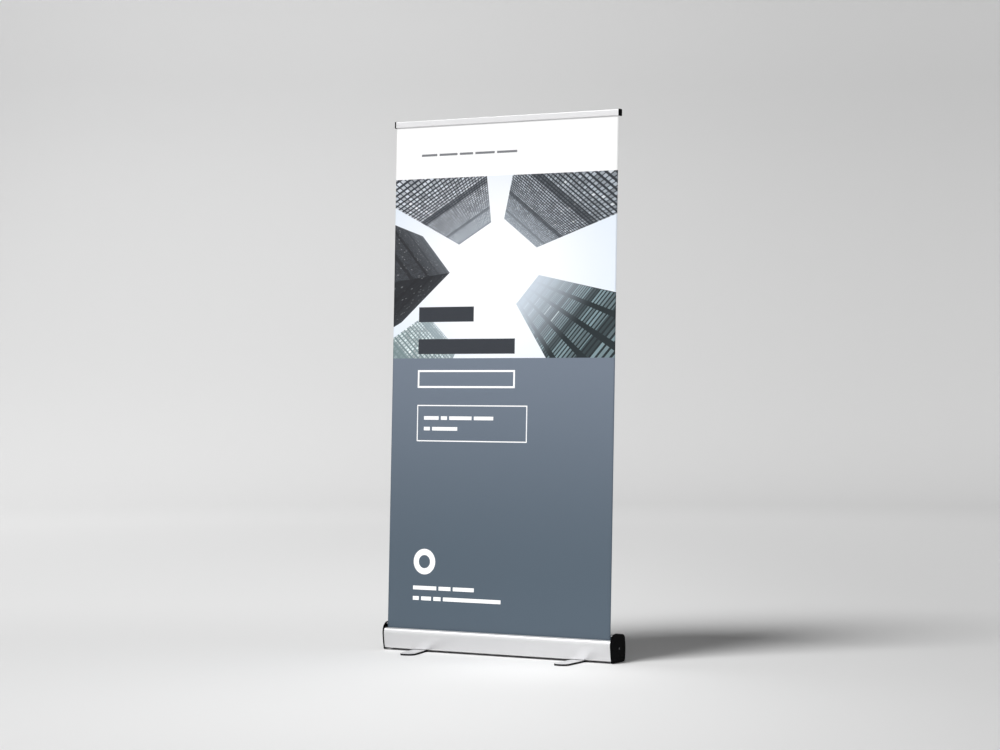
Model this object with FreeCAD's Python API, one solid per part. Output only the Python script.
import FreeCAD, Part
import math
import os

from FreeCAD import Vector

# Roll-up banner stand, millimetres, +Z up, the printed side faces -Y.
# While it is drawn, y = 0 is the film where it leaves the slot at height slot_z.
# save() moves every piece so that the footprint is centred on the origin.

# ---------------------------------------------------------------- driving sizes
film_width = 1000.0
film_thickness = 0.3
rail_bottom_z = 2066.3
slot_z = 100.0
film_gap = 0.35             # air between the film and what it passes

film_side_room = 7.8        # cassette past the film at each end
body_wall = 1.6
slot_front_y = -6.4
slot_rear_y = 2.0
web_y = 50.0
web_thickness = 1.4
body_bottom_z = 8.5
screw_y = 46.0
screw_z = 54.0
screw_radius = 2.0
port_radius = 4.6
fit_gap = 0.05              # running and sliding fits
ease_gap = 0.3              # pieces that only pass each other

cap_thickness = 5.6
cap_edge_round = 1.6
cap_ridge_length = 5.0
cap_ridge_wall = 1.8
cap_panel_depth = 0.5
cap_panel_margin = 13.0

roller_axis_z = 46.0
roller_radius = 14.5
roller_wall = 1.3
roller_end_gap = 6.8
film_turns = 1.0            # thickness of the turns left on the roller
plug_length = 12.0
plug_flange = 1.5
spindle_radius = 4.0
spindle_length = 300.0
spindle_flat = 6.0
axle_hole_depth = 4.2
bearing_radius = 6.5
anchor_length = 15.0
anchor_inset = 30.0
spring_wire = 1.6
spring_radius = 9.0
spring_pitch = 6.0

rail_height = 23.7
rail_depth = 18.0
rail_front = 5.0            # rail in front of the film
rail_round = 2.2
rail_overhang = 1.5         # rail past the film at each end
rail_wall = 1.6
rail_groove_depth = 11.0
rail_groove_front = 0.6
clamp_thickness = 2.0
hook_channel_width = 5.0
hook_channel_depth = 14.0
rail_cap_thickness = 5.0
rail_cap_proud = 1.4

pole_y = 74.0
pole_behind_film = 7.74     # at the rail's underside
lower_radius = 9.5
tube_wall = 1.1
stage_gap = 0.4             # air between one tube and the next
tube_overlap = 62.0
pole_top_gap = 21.3         # top of the upper tube to the underside of the rail
pole_foot_height = 3.0
plug_spigot = 12.0
guide_height = 4.0
lock_height = 14.0
collar_below = 26.0
collar_lip = 2.7
collar_wall = 3.4
collar_flutes = 14
flute_radius = 1.1
socket_wall = 2.4
socket_rim = 1.0
socket_floor = 4.4
socket_rise = 6.0
socket_shoulder_z = 88.0
socket_foot_chamfer = 3.0   # clears the rounded rear corner of the cassette
hook_length = 15.0
hook_wall = 1.1
hook_roof = 5.0
tongue_width = 30.0
tongue_thickness = 4.0
tongue_reach = 12.0
rivet_radius = 1.5

foot_width = 60.0
foot_front_arm = 202.0
foot_rear_arm = 146.0
foot_corner = 24.0
foot_plate_thickness = 2.5
foot_sole_thickness = 4.8
foot_edging = 1.2
foot_edging_drop = 0.3      # the edging ends this far below the plate's top
foot_end_room = 2.8         # cassette past a folded foot
foot_pivot_y = 40.0
foot_turn_left = 13.0       # degrees off square, front tip towards +X
foot_turn_right = 3.0
pivot_radius = 3.0
pivot_head_radius = 6.0
pivot_head_height = 1.4
washer_radius = 12.0
nut_width = 10.0
nut_height = 5.0

# Corners (y, z, radius) of the aluminium section, from the bottom front edge over the top.
body_corners = [
    (-10.5, body_bottom_z, 5.0),
    (-15.8, 42.0, 150.0),
    (-18.8, 70.0, 50.0),
    (-14.6, 84.0, 10.0),
    (-6.0, 88.6, 3.0),
    (1.0, 104.0, 3.0),
    (18.0, 109.6, 30.0),
    (91.5, 100.5, 18.0),
    (91.5, body_bottom_z, 8.0),
]
# The same for the moulded end caps, which stand proud of the section.
cap_corners = [
    (-10.5, 1.8, 6.0),
    (-16.8, 38.0, 150.0),
    (-20.4, 70.0, 40.0),
    (-15.0, 94.0, 30.0),
    (2.5, 108.8, 16.0),
    (24.0, 112.3, 60.0),
    (91.0, 104.5, 22.0),
    (96.5, 54.0, 150.0),
    (91.5, 2.0, 12.0),
]

# ---------------------------------------------------------------- worked-out places
# The rail hangs on the upright pole behind the slot, and that sets the film's lean.
lean = math.atan((pole_y - pole_behind_film) / (rail_bottom_z - slot_z))


def film_y(z):
    return (z - slot_z) * math.tan(lean)


half_film = film_width / 2
half_body = half_film + film_side_room
foot_pivot_x = half_body - foot_rear_arm - foot_end_room
cap_outer_x = half_body + cap_thickness
body_floor_z = body_bottom_z + body_wall
roll_radius = roller_radius + film_turns
film_to_axis = roll_radius + film_gap + film_thickness / 2
roller_axis_y = film_y(roller_axis_z) + film_to_axis / math.cos(lean)
half_roller = half_body - roller_end_gap
roller_bore = roller_radius - roller_wall
middle_radius = lower_radius - tube_wall - stage_gap
upper_radius = middle_radius - tube_wall - stage_gap

pole_floor_z = body_floor_z + socket_floor
pole_top_z = rail_bottom_z - pole_top_gap
tube_length = (pole_top_z - pole_floor_z + 2 * tube_overlap) / 3
lower_top_z = pole_floor_z + tube_length
middle_bottom_z = lower_top_z - tube_overlap
middle_top_z = middle_bottom_z + tube_length
upper_bottom_z = middle_top_z - tube_overlap

foot_top_z = foot_sole_thickness + foot_plate_thickness
washer_thickness = body_bottom_z - foot_top_z - fit_gap

stage_stops = [
    middle_top_z - collar_below - (lower_top_z + guide_height + ease_gap + collar_lip),
    middle_bottom_z - lock_height - (pole_floor_z + pole_foot_height + plug_spigot),
    pole_top_z - hook_length - (middle_top_z + guide_height + ease_gap + collar_lip),
    upper_bottom_z - lock_height - (middle_bottom_z + plug_spigot),
]


# ---------------------------------------------------------------- drawing helpers
def rounded_wire(corners, x):
    """Closed wire in the plane at x, through (y, z, radius) corners rounded by tangent arcs."""
    edges = []
    ends = []
    count = len(corners)
    for i in range(count):
        y, z, radius = corners[i]
        here = Vector(x, y, z)
        back = Vector(x, corners[i - 1][0], corners[i - 1][1]) - here
        ahead = Vector(x, corners[(i + 1) % count][0], corners[(i + 1) % count][1]) - here
        back.normalize()
        ahead.normalize()
        half_turn = (math.pi - back.getAngle(ahead)) / 2
        reach = radius * math.tan(half_turn)
        start = here + back * reach
        finish = here + ahead * reach
        inward = back + ahead
        inward.normalize()
        middle = here + inward * (radius / math.cos(half_turn) - radius)
        ends.append((start, finish))
        if radius > 0:
            edges.append(Part.Arc(start, middle, finish).toShape())
    for i in range(count):
        edges.append(Part.LineSegment(ends[i - 1][1], ends[i][0]).toShape())
    return Part.Wire(Part.__sortEdges__(edges))


def inset(corners, distance):
    """The corners of the same convex outline with every side moved inwards by distance."""
    count = len(corners)
    moved = []
    for i in range(count):
        y, z, radius = corners[i]
        y0, z0, _ = corners[i - 1]
        y1, z1, _ = corners[(i + 1) % count]
        before = math.atan2(z - z0, y - y0)
        after = math.atan2(z1 - z, y1 - y)
        turn = before - after
        # The outline runs clockwise, so the inside is on its right hand.
        shift = distance / math.cos(turn / 2)
        direction = (before + after) / 2 - math.pi / 2
        moved.append((y + shift * math.cos(direction), z + shift * math.sin(direction),
                      max(radius - distance, 0.3)))
    return moved


def prism(corners, x0, x1):
    return Part.Face(rounded_wire(corners, x0)).extrude(Vector(x1 - x0, 0, 0))


def box(x0, x1, y0, y1, z0, z1):
    return Part.makeBox(x1 - x0, y1 - y0, z1 - z0, Vector(x0, y0, z0))


def rod_x(radius, x0, x1, y, z):
    return Part.makeCylinder(radius, x1 - x0, Vector(x0, y, z), Vector(1, 0, 0))


def rod_z(radius, z0, z1, x, y):
    return Part.makeCylinder(radius, z1 - z0, Vector(x, y, z0), Vector(0, 0, 1))


def ring_x(outer, inner, x0, x1, y, z):
    return rod_x(outer, x0, x1, y, z).cut(rod_x(inner, x0 - 1, x1 + 1, y, z))


def ring_z(outer, inner, z0, z1, x, y):
    return rod_z(outer, z0, z1, x, y).cut(rod_z(inner, z0 - 1, z1 + 1, x, y))


def mirrored(shape):
    return shape.mirror(Vector(0, 0, 0), Vector(1, 0, 0))


def along_film(shape, z):
    """Stand a shape drawn at the origin on the film's line at height z, leaning with it."""
    placed = shape.copy()
    placed.rotate(Vector(0, 0, 0), Vector(1, 0, 0), -math.degrees(lean))
    placed.translate(Vector(0, film_y(z), z))
    return placed


def rounded_plate(half_width, y0, y1, corner, z0, z1):
    """Flat bar along Y with four rounded corners."""
    middle_bar = box(-half_width, half_width, y0 + corner, y1 - corner, z0, z1)
    bar = middle_bar.fuse(box(-half_width + corner, half_width - corner, y0, y1, z0, z1))
    for x in (-half_width + corner, half_width - corner):
        for y in (y0 + corner, y1 - corner):
            bar = bar.fuse(rod_z(corner, z0, z1, x, y))
    return bar.removeSplitter()


# ---------------------------------------------------------------- cassette
def cassette_body():
    shell = prism(body_corners, -half_body, half_body)
    hollow = prism(inset(body_corners, body_wall), -half_body - 1, half_body + 1)
    web = box(-half_body, half_body, web_y, web_y + web_thickness, body_bottom_z + 1, 99.0)
    port = rod_x(port_radius, -half_body, half_body, screw_y, screw_z)
    ribs = web.fuse(port).common(hollow)
    body = shell.cut(hollow).fuse(ribs)
    slot = box(-half_body - 1, half_body + 1, slot_front_y, slot_rear_y, slot_z - 22, slot_z + 12)
    body = body.cut(slot)
    body = body.cut(rod_x(screw_radius + fit_gap, -half_body - 1, half_body + 1, screw_y, screw_z))
    socket_hole = rod_z(socket_outer() + socket_rim + fit_gap, 70.0, 110.0, 0, pole_y)
    body = body.cut(socket_hole)
    for side in (-1, 1):
        pivot_hole = rod_z(pivot_radius + fit_gap, 0, body_floor_z + 1, side * foot_pivot_x, foot_pivot_y)
        body = body.cut(pivot_hole)
    return body.removeSplitter()


def socket_outer():
    return lower_radius + socket_wall


def end_cap_blank():
    """Right-hand cap without its axle hole: moulded plate, raised edge and the ridge inside."""
    plate = prism(cap_corners, half_body, cap_outer_x)
    rim = [edge for edge in plate.Edges if abs(edge.BoundBox.XMin - cap_outer_x) < 1e-6]
    plate = plate.makeFillet(cap_edge_round, rim)
    panel = prism(inset(cap_corners, cap_panel_margin), cap_outer_x - cap_panel_depth, cap_outer_x + 1)
    plate = plate.cut(panel)
    ridge_outside = inset(body_corners, body_wall + fit_gap)
    ridge = prism(ridge_outside, half_body - cap_ridge_length, half_body)
    ridge_inside = inset(body_corners, body_wall + cap_ridge_wall)
    ridge = ridge.cut(prism(ridge_inside, half_body - cap_ridge_length - 1, half_body + 1))
    web_room = box(0, half_body, web_y - ease_gap, web_y + web_thickness + ease_gap, 0, 120.0)
    slot_room = box(0, half_body, -2 * film_gap + slot_front_y, slot_rear_y + ease_gap, slot_z - 24, 120.0)
    ridge = ridge.cut(web_room).cut(slot_room)
    cap = plate.fuse(ridge)
    screw_hole = rod_x(screw_radius + fit_gap, half_body - 1, cap_outer_x + 1, screw_y, screw_z)
    head_room = rod_x(2 * screw_radius + ease_gap, cap_outer_x - 2.4, cap_outer_x + 1, screw_y, screw_z)
    return cap.cut(screw_hole).cut(head_room)


def end_cap_right():
    seat = rod_x(bearing_radius, half_body - 1, half_body + axle_hole_depth, roller_axis_y, roller_axis_z)
    return end_cap_blank().cut(seat)


def end_cap_left():
    keyed = rod_x(spindle_radius + fit_gap, half_body - 1, half_body + axle_hole_depth,
                  roller_axis_y, roller_axis_z)
    half_flat = spindle_flat / 2 + fit_gap
    key = box(half_body - 2, half_body + axle_hole_depth + 1, roller_axis_y - 2 * spindle_radius,
              roller_axis_y + 2 * spindle_radius, roller_axis_z - half_flat, roller_axis_z + half_flat)
    return mirrored(end_cap_blank().cut(keyed.common(key)))


def end_cap_screw():
    """Right-hand screw: sunk head with a cross slot, and a shank that cuts into the port."""
    head_base = cap_outer_x - 2.4
    head = Part.makeCone(screw_radius, 2 * screw_radius, 1.6, Vector(head_base, screw_y, screw_z),
                         Vector(1, 0, 0))
    dome = rod_x(2 * screw_radius, head_base + 1.6, head_base + 2.2, screw_y, screw_z)
    shank = rod_x(screw_radius, half_body - 12.0, head_base, screw_y, screw_z)
    screw = head.fuse(dome).fuse(shank)
    for half_y, half_z in ((0.45, 2.2), (2.2, 0.45)):
        screw = screw.cut(box(head_base + 0.9, head_base + 3, screw_y - half_y, screw_y + half_y,
                              screw_z - half_z, screw_z + half_z))
    return screw.removeSplitter()


# ---------------------------------------------------------------- spring roller
def roller_tube():
    return ring_x(roller_radius, roller_bore, -half_roller, half_roller, roller_axis_y, roller_axis_z)


def film_roll():
    return ring_x(roll_radius, roller_radius, -half_film, half_film, roller_axis_y, roller_axis_z)


def roller_plug(bore):
    """Right-hand plug: pressed into the tube, with a flange over its end."""
    core = rod_x(roller_bore, half_roller - plug_length, half_roller, roller_axis_y, roller_axis_z)
    flange = rod_x(roller_radius, half_roller, half_roller + plug_flange, roller_axis_y, roller_axis_z)
    hole = rod_x(bore, half_roller - plug_length - 1, half_roller + plug_flange + 1,
                 roller_axis_y, roller_axis_z)
    return core.fuse(flange).cut(hole).removeSplitter()


def spindle_rod():
    end = -half_body - axle_hole_depth + ease_gap
    rod = rod_x(spindle_radius, end, end + spindle_length, roller_axis_y, roller_axis_z)
    for side in (-1, 1):
        z0 = roller_axis_z + side * (spindle_flat / 2 + spindle_radius) - spindle_radius
        rod = rod.cut(box(end - 1, -half_body + ease_gap, roller_axis_y - 10, roller_axis_y + 10,
                          z0, z0 + 2 * spindle_radius))
    return rod


def anchor_start():
    return -half_body + spindle_length - anchor_inset - anchor_length


def spring_anchor():
    start = anchor_start()
    return ring_x(roller_bore - 2 * ease_gap, spindle_radius, start, start + anchor_length,
                  roller_axis_y, roller_axis_z)


def torsion_spring():
    """Round wire wound on the spindle between the rolling plug and the fixed anchor."""
    start = -half_roller + plug_length + ease_gap + spring_wire
    length = anchor_start() - spring_wire / 2 - start
    coil = Part.makeHelix(spring_pitch, length, spring_radius)
    section = Part.Wire(Part.makeCircle(spring_wire / 2, Vector(spring_radius, 0, 0), Vector(0, 1, 0)))
    spring = Part.Wire(coil.Edges).makePipeShell([section], True, True)
    spring.rotate(Vector(0, 0, 0), Vector(0, 1, 0), 90)
    spring.translate(Vector(start, roller_axis_y, roller_axis_z))
    return spring


def stub_axle():
    return rod_x(spindle_radius, half_roller - plug_length, half_body + axle_hole_depth - ease_gap,
                 roller_axis_y, roller_axis_z)


def stub_bearing():
    return ring_x(bearing_radius, spindle_radius + fit_gap, half_body, half_body + axle_hole_depth,
                  roller_axis_y, roller_axis_z)


# ---------------------------------------------------------------- film and top rail
def banner_film():
    height = (rail_bottom_z - roller_axis_z) / math.cos(lean) + rail_groove_depth - 3
    sheet = box(-half_film, half_film, -film_thickness / 2, film_thickness / 2, 0, height)
    return along_film(sheet, roller_axis_z)


def half_rail():
    return half_film + rail_overhang


def rail_corners(proud):
    front = -rail_front - proud
    back = rail_depth - rail_front + proud
    low = -proud
    high = rail_height + proud
    radius = rail_round + proud
    return [(front, low, radius), (front, high, radius), (back, high, radius), (back, low, radius)]


def hook_channel_y():
    """Middle of the rear channel, measured from the film, so that it sits over the pole."""
    return (pole_y - film_y(rail_bottom_z)) / math.cos(lean)


def rail_chamber(clearance):
    floor = hook_channel_depth + rail_wall + clearance
    return [(-rail_front + rail_wall + clearance, floor, 0.5),
            (-rail_front + rail_wall + clearance, rail_height - rail_wall - clearance, 0.5),
            (rail_depth - rail_front - rail_wall - clearance, rail_height - rail_wall - clearance, 0.5),
            (rail_depth - rail_front - rail_wall - clearance, floor, 0.5)]


def top_rail():
    x = half_rail()
    rail = prism(rail_corners(0), -x, x)
    groove_back = rail_groove_front + clamp_thickness
    rail = rail.cut(box(-x - 1, x + 1, -rail_groove_front, groove_back, -1, rail_groove_depth))
    middle = hook_channel_y()
    half_channel = hook_channel_width / 2
    rail = rail.cut(box(-x - 1, x + 1, middle - half_channel, middle + half_channel, -1,
                        hook_channel_depth))
    rail = rail.cut(prism(rail_chamber(0), -x - 1, x + 1))
    return along_film(rail, rail_bottom_z)


def film_clamp_strip():
    strip = box(-half_film, half_film, rail_groove_front, rail_groove_front + clamp_thickness,
                0.6, rail_groove_depth - 0.5)
    return along_film(strip, rail_bottom_z)


def rail_cap():
    """Right-hand cap with a spigot in the rail's upper chamber."""
    x = half_rail()
    plate = prism(rail_corners(rail_cap_proud), x, x + rail_cap_thickness)
    rim = [edge for edge in plate.Edges if abs(edge.BoundBox.XMin - x - rail_cap_thickness) < 1e-6]
    plate = plate.makeFillet(0.8, rim)
    spigot = prism(rail_chamber(fit_gap), x - 6.0, x)
    return along_film(plate.fuse(spigot), rail_bottom_z)


# ---------------------------------------------------------------- telescopic pole
def pole_tube(radius, z0, z1):
    return ring_z(radius, radius - tube_wall, z0, z1, 0, pole_y)


def pole_foot_plug():
    flange = rod_z(lower_radius, pole_floor_z, pole_floor_z + pole_foot_height, 0, pole_y)
    spigot = rod_z(lower_radius - tube_wall, pole_floor_z + pole_foot_height,
                   pole_floor_z + pole_foot_height + plug_spigot, 0, pole_y)
    return flange.fuse(spigot).removeSplitter()


def guide_ring(outer, inner, z):
    return ring_z(outer, inner + fit_gap, z, z + guide_height, 0, pole_y)


def lock_plug(tube_radius, outside_bore, tube_end_z):
    """Split nylon plug under a tube's end: it slides in the larger tube and grips when turned."""
    body = rod_z(outside_bore - fit_gap, tube_end_z - lock_height, tube_end_z, 0, pole_y)
    spigot = rod_z(tube_radius - tube_wall, tube_end_z, tube_end_z + plug_spigot, 0, pole_y)
    plug = body.fuse(spigot)
    split = box(-0.8, 0.8, pole_y, pole_y + 2 * lower_radius, tube_end_z - lock_height - 1,
                tube_end_z - 3)
    waist = ring_z(outside_bore + 1, outside_bore - 1.2, tube_end_z - 9.0, tube_end_z - 6.0, 0, pole_y)
    return plug.cut(split).cut(waist).removeSplitter()


def twist_collar(tube_radius, inner_radius, tube_top_z):
    """Fluted sleeve over a tube's end; its lip closes round the next tube."""
    outer = tube_radius + collar_wall
    low = tube_top_z - collar_below
    lip_z = tube_top_z + guide_height + ease_gap
    high = lip_z + collar_lip
    sleeve = rod_z(outer, low, high, 0, pole_y)
    ends = [edge for edge in sleeve.Edges if len(edge.Vertexes) == 1]
    sleeve = sleeve.makeChamfer(0.8, ends)
    sleeve = sleeve.cut(rod_z(tube_radius + fit_gap, low - 1, lip_z, 0, pole_y))
    sleeve = sleeve.cut(rod_z(inner_radius + ease_gap, lip_z - 1, high + 1, 0, pole_y))
    for i in range(collar_flutes):
        turn = 2 * math.pi * i / collar_flutes
        x = outer * math.cos(turn)
        y = pole_y + outer * math.sin(turn)
        sleeve = sleeve.cut(rod_z(flute_radius, low + 5, high - 3, x, y))
    return sleeve


def pole_socket():
    """Sleeve in the rear chamber that the pole stands in, with a rim through the top wall."""
    top = body_corners[6][1] + socket_rise + 3
    sleeve = rod_z(socket_outer(), body_floor_z, socket_shoulder_z, 0, pole_y)
    foot_edge = [edge for edge in sleeve.Edges
                 if len(edge.Vertexes) == 1 and edge.BoundBox.ZMax < body_floor_z + 0.1]
    sleeve = sleeve.makeChamfer(socket_foot_chamfer, foot_edge)
    rim = rod_z(socket_outer() + socket_rim, socket_shoulder_z, top, 0, pole_y)
    rim = rim.makeChamfer(0.8, [edge for edge in rim.Edges
                                if len(edge.Vertexes) == 1 and edge.BoundBox.ZMin > top - 0.1])
    bore = rod_z(lower_radius + 2 * fit_gap, pole_floor_z, top + 1, 0, pole_y)
    return sleeve.fuse(rim).cut(bore).removeSplitter()


def pole_hook():
    """Cap on the upper tube with a tongue that stands in the rail's rear channel."""
    low = pole_top_z - hook_length
    high = pole_top_z + hook_roof
    cap = rod_z(upper_radius + hook_wall, low, high, 0, pole_y)
    cap = cap.cut(rod_z(upper_radius, low - 1, pole_top_z, 0, pole_y))
    half_tongue = tongue_thickness / 2
    tongue = box(-tongue_width / 2, tongue_width / 2, pole_y - half_tongue, pole_y + half_tongue,
                 high - 2, rail_bottom_z + tongue_reach)
    shoulder = box(-tongue_width / 2, tongue_width / 2, pole_y - half_tongue - 2,
                   pole_y + half_tongue + 2, high - 3, rail_bottom_z - 4)
    hook = cap.fuse(tongue).fuse(shoulder).removeSplitter()
    return hook.cut(rivet_bar())


def rivet_bar():
    z = pole_top_z - hook_length / 2
    reach = upper_radius + hook_wall + 0.4
    return rod_x(rivet_radius, -reach, reach, pole_y, z)


def upper_tube():
    return pole_tube(upper_radius, upper_bottom_z, pole_top_z).cut(rivet_bar())


# ---------------------------------------------------------------- feet
def on_pivot(shape, side, turn):
    placed = shape.copy()
    placed.rotate(Vector(0, 0, 0), Vector(0, 0, 1), turn)
    placed.translate(Vector(side * foot_pivot_x, foot_pivot_y, 0))
    return placed


def foot_plate():
    margin = foot_edging
    plate = rounded_plate(foot_width / 2 - margin, -foot_front_arm + margin, foot_rear_arm - margin,
                          foot_corner - margin, foot_sole_thickness, foot_top_z)
    top = [edge for edge in plate.Edges if edge.BoundBox.ZMin > foot_top_z - 0.01]
    plate = plate.makeChamfer(0.4, top)
    return plate.cut(rod_z(pivot_radius + fit_gap, -1, foot_top_z + 1, 0, 0))


def foot_sole():
    """Rubber tray under the plate, with a rim that covers the plate's edge."""
    tray = rounded_plate(foot_width / 2, -foot_front_arm, foot_rear_arm, foot_corner, 0,
                         foot_top_z - foot_edging_drop)
    margin = foot_edging
    room = rounded_plate(foot_width / 2 - margin, -foot_front_arm + margin, foot_rear_arm - margin,
                         foot_corner - margin, foot_sole_thickness, foot_top_z + 1)
    return tray.cut(room).cut(rod_z(pivot_head_radius + 1, -1, foot_top_z, 0, 0))


def foot_pivot_bolt():
    """Flat-headed bolt: the head holds the foot from below, the shank turns in the plate."""
    head_top = foot_sole_thickness - fit_gap
    head = rod_z(pivot_head_radius, head_top - pivot_head_height, head_top, 0, 0)
    shank = rod_z(pivot_radius, head_top, body_floor_z + nut_height, 0, 0)
    socket = rod_z(1.8, head_top - pivot_head_height - 1, head_top - 0.5, 0, 0)
    return head.fuse(shank).cut(socket).removeSplitter()


def foot_washer():
    return ring_z(washer_radius, pivot_radius, body_bottom_z - washer_thickness, body_bottom_z, 0, 0)


def foot_nut():
    half = nut_width / 2
    nut = box(-half, half, -half, half, body_floor_z, body_floor_z + nut_height)
    return nut.cut(rod_z(pivot_radius, 0, body_floor_z + nut_height + 1, 0, 0))


# ---------------------------------------------------------------- the whole stand
def make_pieces():
    pieces = {}
    pieces["cassette_body"] = cassette_body()
    pieces["end_cap_left"] = end_cap_left()
    pieces["end_cap_right"] = end_cap_right()
    pieces["end_cap_screw_right"] = end_cap_screw()
    pieces["end_cap_screw_left"] = mirrored(pieces["end_cap_screw_right"])
    pieces["roller_tube"] = roller_tube()
    pieces["film_roll"] = film_roll()
    pieces["roller_plug_left"] = mirrored(roller_plug(spindle_radius + fit_gap))
    pieces["roller_plug_right"] = roller_plug(spindle_radius)
    pieces["spindle_rod"] = spindle_rod()
    pieces["spring_anchor"] = spring_anchor()
    pieces["torsion_spring"] = torsion_spring()
    pieces["stub_axle"] = stub_axle()
    pieces["stub_bearing"] = stub_bearing()
    pieces["banner_film"] = banner_film()
    pieces["top_rail"] = top_rail()
    pieces["film_clamp_strip"] = film_clamp_strip()
    pieces["rail_cap_right"] = rail_cap()
    pieces["rail_cap_left"] = mirrored(pieces["rail_cap_right"])
    pieces["pole_socket"] = pole_socket()
    pieces["pole_foot_plug"] = pole_foot_plug()
    pieces["pole_tube_lower"] = pole_tube(lower_radius, pole_floor_z + pole_foot_height, lower_top_z)
    pieces["pole_tube_middle"] = pole_tube(middle_radius, middle_bottom_z, middle_top_z)
    pieces["pole_tube_upper"] = upper_tube()
    pieces["guide_ring_lower"] = guide_ring(lower_radius, middle_radius, lower_top_z)
    pieces["guide_ring_middle"] = guide_ring(middle_radius, upper_radius, middle_top_z)
    pieces["lock_plug_middle"] = lock_plug(middle_radius, lower_radius - tube_wall, middle_bottom_z)
    pieces["lock_plug_upper"] = lock_plug(upper_radius, middle_radius - tube_wall, upper_bottom_z)
    pieces["twist_collar_lower"] = twist_collar(lower_radius, middle_radius, lower_top_z)
    pieces["twist_collar_middle"] = twist_collar(middle_radius, upper_radius, middle_top_z)
    pieces["pole_hook"] = pole_hook()
    pieces["hook_rivet"] = rivet_bar()
    for name, side, turn in (("left", -1, foot_turn_left), ("right", 1, foot_turn_right)):
        pieces["foot_plate_" + name] = on_pivot(foot_plate(), side, turn)
        pieces["foot_sole_" + name] = on_pivot(foot_sole(), side, turn)
        pieces["foot_pivot_bolt_" + name] = on_pivot(foot_pivot_bolt(), side, 0)
        pieces["foot_washer_" + name] = on_pivot(foot_washer(), side, 0)
        pieces["foot_nut_" + name] = on_pivot(foot_nut(), side, 0)
    return pieces


def save(pieces):
    """Centre the feet's reach on the origin and write one file for each piece."""
    soles = [pieces["foot_sole_left"], pieces["foot_sole_right"]]
    front = min(sole.optimalBoundingBox().YMin for sole in soles)
    back = max(sole.optimalBoundingBox().YMax for sole in soles)
    centre_y = (front + back) / 2
    os.makedirs("parts", exist_ok=True)
    for name, shape in pieces.items():
        shape.translate(Vector(0, -centre_y, 0))
        shape.exportStep("parts/" + name + ".step")
    return centre_y


made = make_pieces()
centre = save(made)
print("pieces", len(made))
print("origin is", round(centre, 3), "mm behind the film at the slot")
print("stage travel up to", round(min(stage_stops), 2), "of", [round(stop, 1) for stop in stage_stops])
print("roller axis y, z", round(roller_axis_y - centre, 3), roller_axis_z)
print("pole y", round(pole_y - centre, 3), "foot pivot y", round(foot_pivot_y - centre, 3))
